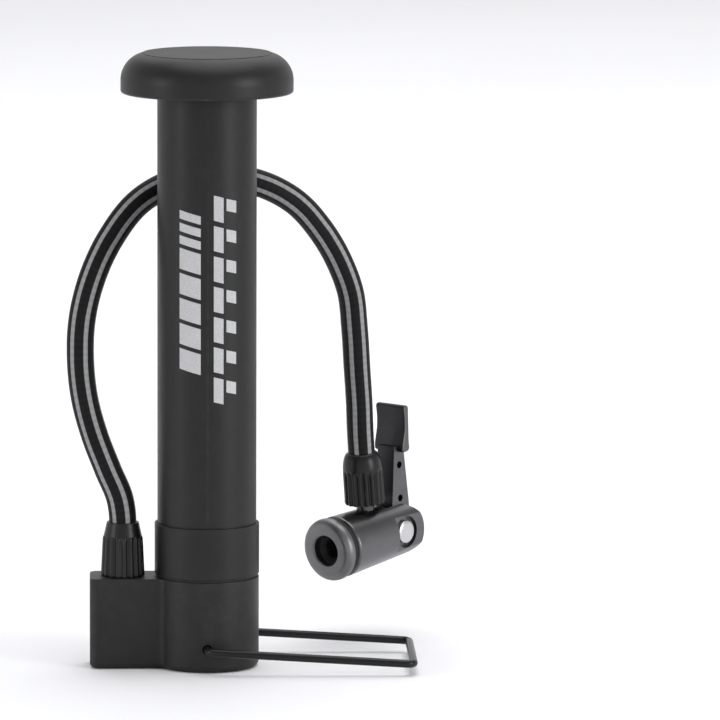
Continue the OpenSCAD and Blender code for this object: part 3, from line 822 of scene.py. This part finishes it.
def add_bracket():
    pivot = Vector(JOINTS["bracket_fold"]["pos_m"]) / MM
    low, high = box_mm("foot_bracket")
    leg = high.y - WIRE_R
    slope = math.asin((pivot.z - low.z - WIRE_R) / BRACKET_REACH)
    outline = rounded([(0, WIRE_END), (0, leg, WIRE_BEND), (BRACKET_REACH, leg, WIRE_BEND),
                       (BRACKET_REACH, -leg, WIRE_BEND), (0, -leg, WIRE_BEND), (0, -WIRE_END)], steps=12)
    path = [Vector((x, y, 0)) for x, y in outline]
    dense = [path[0]]
    for a, b in zip(path, path[1:]):
        parts = max(1, math.ceil((b - a).length / WIRE_STEP))
        dense += [a.lerp(b, k / parts) for k in range(1, parts + 1)]
    headings = headings_of(dense, Vector((0, 1, 0)), (dense[-1] - dense[-2]).normalized())
    wire = tube(dense, WIRE_R, WIRE_SIDES, headings, Vector((0, 0, 1)))
    place = Matrix.Translation(pivot) @ Matrix.Rotation(slope, 4, "Y")
    add_piece("bracket_wire", wire, "bracket", "wire", ["foot_bracket"], place)


add_bracket()


# ---------------------------------------------------------------- valve chuck

pin_at = Vector(JOINTS["lever_flip"]["pos_m"]) / MM
chuck_at = pin_at + PIN_BACK * nose_way
IN_CHUCK = Matrix.Translation(chuck_at) @ Matrix((nose_way, pin_way, hose_way)).transposed().to_4x4()
ALONG_X = Matrix.Rotation(math.pi / 2, 4, "Y")
HEAD_R = 10.75               # rear end, which is round about the pin
HEAD_FRONT_R = 12.2
HEAD_FRONT = 18.0
NOSE_R = 12.4
NOSE_X = 25.0
NUT_LOW = 19.0               # rear of the nose nut
GROOVE_END = 20.7
GROMMET_END = 21.9
VALVE_BORE_R = 6.0
CHEEK_Y = 9.0                # flats beside the pin
CHEEK_LEN = 6.5
SLOT_HALF, SLOT_FLOOR, SLOT_LEN = 4.6, -8.4, 5.9
PIN_R = 1.9
PIN_HEAD_R, POCKET_R, POCKET_Y = 4.5, 6.3, 7.0
CHUCK_SIDES = 144
PAST = 30                    # a length past the head's own size, for cutters


def across(at, side):
    """Place on the chuck's side, facing out along its pin axis."""
    return IN_CHUCK @ turned_to((0, side, 0), at)


def head_profile():
    """The head before its cuts: a cone with the stepped socket that takes nut and grommet."""
    rear = -PIN_BACK - HEAD_R
    spread = (HEAD_FRONT_R - HEAD_R) / (HEAD_FRONT - rear)
    socket_r, seat_r, seat = 8.15, 7.55, GROMMET_END - 0.3
    return rounded([(0, rear - 4), (HEAD_R - 4 * spread, rear - 4), (HEAD_FRONT_R, HEAD_FRONT, 1.1),
                    (socket_r, HEAD_FRONT, 0.2), (socket_r, seat),
                    (seat_r, seat), (seat_r, 5), (0, 5)], steps=6)


def head_side():
    """Side view of the head, which is round about the pin at its rear."""
    back = arc((-PIN_BACK, 0), HEAD_R, 90, 270, 48)
    reach = 2 * HEAD_R
    return [*back, (-PIN_BACK, -reach), (NOSE_X, -reach), (NOSE_X, reach), (-PIN_BACK, reach)]


def add_chuck_body():
    body = make_mesh("chuck_head", revolved(head_profile(), CHUCK_SIDES), IN_CHUCK @ ALONG_X)
    face_outwards(body.data)
    carve(body, [(prism(head_side(), 15), IN_CHUCK)], "INTERSECT")
    slot = block((-PAST, -SLOT_HALF, SLOT_FLOOR), (SLOT_LEN - PIN_BACK, SLOT_HALF, PAST))
    cuts = [(slot, IN_CHUCK)]
    floor = POCKET_Y - CHEEK_Y
    pocket = rounded([(0, floor), (POCKET_R, floor, 0.4), (POCKET_R, 8), (0, 8)], steps=3)
    for side in (-1, 1):
        low, high = sorted((side * CHEEK_Y, side * 16))
        cuts.append((block((-PAST, low, -15), (CHEEK_LEN - PIN_BACK, high, 15)), IN_CHUCK))
        cuts.append((revolved(pocket, 72), across((-PIN_BACK, side * CHEEK_Y, 0), side)))
    cuts.append((rod(PIN_R + FIT, -13, 13), across((-PIN_BACK, 0, 0), 1)))
    cuts.append((rod(3.0, -9, 6), IN_CHUCK @ ALONG_X))
    cuts.append((rod(3.52, 4.5, 15), IN_CHUCK))
    carve(body, cuts)
    soften(body, 0.45)
    settle(body, "hose_line", "chuck_metal", ["chuck_body"])


def add_nose_nut():
    groove_r, thread_r, lip = 11.0, 8.2, NOSE_X - 2.9
    profile = rounded([(thread_r, NUT_LOW), (groove_r, NUT_LOW), (groove_r, GROOVE_END),
                       (NOSE_R, GROOVE_END, 0.7), (NOSE_R, NOSE_X, 2.9), (VALVE_BORE_R, NOSE_X, 0.8),
                       (VALVE_BORE_R, lip, 0.2), (thread_r, lip)], closed=True, steps=8)
    add_piece("nose_nut", revolved(profile, CHUCK_SIDES, closed=True), "hose_line", "chuck_metal",
              ["chuck_nose_nut"], IN_CHUCK @ ALONG_X, MATERIALS["nose_metal_painted_reflection"])
    # The ring below is a dark rubber band laid in the groove between head and nose nut: painted shade for the dark
    # gap there.
    inner, outer, start, end = groove_r + 0.03, groove_r + 0.45, NUT_LOW - 0.9, GROOVE_END - 0.1
    groove_shade = rounded([(inner, start), (outer, start, 0.15), (outer, end, 0.15), (inner, end)],
                   closed=True, steps=3)
    add_piece("nose_groove_painted_shade", revolved(groove_shade, CHUCK_SIDES, closed=True), "hose_line", "seal_rubber", (),
              IN_CHUCK @ ALONG_X)


def add_grommet():
    bore, outer = 4, 7.5
    profile = rounded([(bore, 9, 0.5), (outer, 9, 0.4), (outer, GROMMET_END, 0.3), (5.4, GROMMET_END, 0.6),
                       (bore, NOSE_X - 5, 0.8)], closed=True, steps=4)
    add_piece("nose_grommet", revolved(profile, 96, closed=True), "hose_line", "seal_rubber",
              ["chuck_grommet"], IN_CHUCK @ ALONG_X)


def add_chuck_nut():
    foot, top, ribs_end = 13.8, 34.3, 27.6
    dome_foot = ribs_end - 0.8
    dome = [(5.35 + 2.45 * math.cos(t), dome_foot + (top - dome_foot) * math.sin(t))
            for t in [math.radians(a) for a in range(0, 85, 6)]]
    outer = rounded([(7.3, foot), (7.9, foot, 0.5), (7.85, foot + 3, 2), dome[0]], steps=4)[:-1]
    shell = heights([*outer, *dome, (5.3, top)], NUT_STEP)
    shell += [(4.7, top), (4.7, foot + 2), (3.6, foot + 2), (3.6, foot)]
    shape = revolved(shell, NUT_SIDES, closed=True, swell=fluted(0.85, foot, ribs_end, bore=5.2, fade=2.2))
    add_piece("chuck_nut", shape, "hose_line", "black_nut", ["chuck_ferrule_nut"], IN_CHUCK)


def add_pin():
    parts = [moved(rod(PIN_R, -7.2, 7.2), turned_to((0, 1, 0), (-PIN_BACK, 0, 0)))]
    head = rounded([(0, POCKET_Y), (PIN_HEAD_R, POCKET_Y), (PIN_HEAD_R, 9.1, 0.5), (3.6, 9.55, 1.5),
                    (0, 9.7)])
    for side in (-1, 1):
        parts.append(moved(revolved(head, 72), turned_to((0, side, 0), (-PIN_BACK, 0, 0))))
    add_piece("lever_pin", joined(*parts), "hose_line", "bright_steel", ["chuck_pin"], IN_CHUCK)


LEVER_LEN = 49.4
TAB_LOW = 31.0
LEVER_HOLES = ((-3.1, 12.5), (-3.8, 25.8))
LEVER_HOLE_R = 1.35
WEB_HALF, TAB_HALF = 4.3, 7.45
CAM_AT, CAM_R = (0.75, 0.75), 4.6
SIDE_FACING = 0.8            # how squarely a face must look sideways to count as milled


def shade_sides(piece):
    """Gives the two milled side faces of a lever piece their lighter metal."""
    sideways = (IN_CHUCK.to_3x3() @ Vector((0, 1, 0))).normalized()
    piece.data.materials.append(MATERIALS["lever_side"])
    for face in piece.data.polygons:
        if abs(face.normal.dot(sideways)) > SIDE_FACING:
            face.material_index = 1


def add_lever_web(place):
    neck_z = TAB_LOW + 2.5
    outline = [*arc(CAM_AT, CAM_R, 190, 370, 40), (2.7, 3.6), (2.0, 10), (-1.1, TAB_LOW), (-1.3, neck_z),
               (-6.8, neck_z), (-7.0, TAB_LOW), (-8.0, 10), (-7.9, 3.2), (-6.6, 1.6)]
    web = make_mesh("lever_web", prism(outline, WEB_HALF), place)
    face_outwards(web.data)
    holes = [(rod(LEVER_HOLE_R, -9, 9, 40), across((x - PIN_BACK, 0, z), 1)) for x, z in LEVER_HOLES]
    holes.append((rod(PIN_R + 0.05, -9, 9), across((-PIN_BACK, 0, 0), 1)))
    carve(web, holes)
    soften(web, 0.35)
    settle(web, "lever", "lever_metal", ["chuck_lever"])
    shade_sides(web)


def add_lever_tab(place):
    front = [(-2.6, TAB_LOW, 1.2), (-3.0, TAB_LOW + 3, 4), (-4.9, TAB_LOW + 9, 9), (-5.3, LEVER_LEN - 5, 6),
             (-5.0, LEVER_LEN, 1.2)]
    rear = [(-8.1, LEVER_LEN, 1.2), (-7.7, LEVER_LEN - 6, 8), (-7.2, TAB_LOW + 4, 8), (-7.3, TAB_LOW, 1.6)]
    tab = make_mesh("lever_tab", prism(rounded([*front, *rear], closed=True), TAB_HALF), place)
    face_outwards(tab.data)
    soften(tab, 0.75, 4)
    settle(tab, "lever", "lever_metal")
    shade_sides(tab)


def add_lever():
    at_pin = IN_CHUCK @ Matrix.Translation((-PIN_BACK, 0, 0))
    add_lever_web(at_pin)
    add_lever_tab(at_pin)


add_chuck_body()
add_nose_nut()
add_grommet()
add_chuck_nut()
add_pin()
add_lever()


# ---------------------------------------------------------------- print on the barrel

PRINT_LIFT = 0.03


def slanted(radius, left, right, low, high, slant, steps=10):
    """A thin bar round the barrel's front, from left to right as arc lengths, that rises leftwards."""
    slices = []
    for k in range(steps + 1):
        turn = (left + (right - left) * k / steps) / radius
        rise = slant * (1 - k / steps)
        corners = ((-PRINT_LIFT, low), (PRINT_LIFT, low), (PRINT_LIFT, high), (-PRINT_LIFT, high))
        slices.append([((radius + lift) * math.sin(turn), -(radius + lift) * math.cos(turn), height + rise)
                       for lift, height in corners])
    return lofted(slices)


BARS_TOP, BAR_DEPTHS, BAR_GAP = 176.0, (3.2, 3.2, 3.2, 8, 8, 8, 8, 8), 1.6
BLOCKS_TOP, BLOCKS, BLOCK_PITCH = 183.0, 7, 11.6


def add_print():
    """A column of slanted bars beside a column of paired blocks."""
    radius = box_mm("barrel")[1].x
    patches = []
    top = BARS_TOP
    for depth in BAR_DEPTHS:
        low = top - depth
        patches.append(slanted(radius, -11.2, -2.6, low, top, 2.2))
        top = low - BAR_GAP
    top = BLOCKS_TOP
    for _ in range(BLOCKS):
        patches.append(slanted(radius, 2.4, 6.2, top - 9.6, top, 1.0))
        patches.append(slanted(radius, 7.4, 11.6, top - 6.0, top - 1.4, 1.0))
        top -= BLOCK_PITCH
    add_piece("barrel_print", joined(*patches), "frame", "bright_steel", material=SILVER)


add_print()


# ---------------------------------------------------------------- carried-over CAD nodes and floor

def dress_cad_nodes():
    for entry in frame["record"]["subparts"]:
        node = frame["nodes"][entry["node"]]
        node.data.materials.clear()
        node.data.materials.append(MATERIALS[entry["material_slot"]])


def add_floor():
    mesh = bpy.data.meshes.new("floor")
    corners = [(x * FLOOR_HALF, y * FLOOR_HALF, -FLOOR_DROP) for x, y in ((-1, -1), (1, -1), (1, 1), (-1, 1))]
    mesh.from_pydata(corners, [], [(0, 1, 2, 3)])
    floor = bpy.data.objects.new("floor", mesh)
    floor.data.materials.append(floor_material())
    bpy.context.scene.collection.objects.link(floor)


dress_cad_nodes()
add_floor()
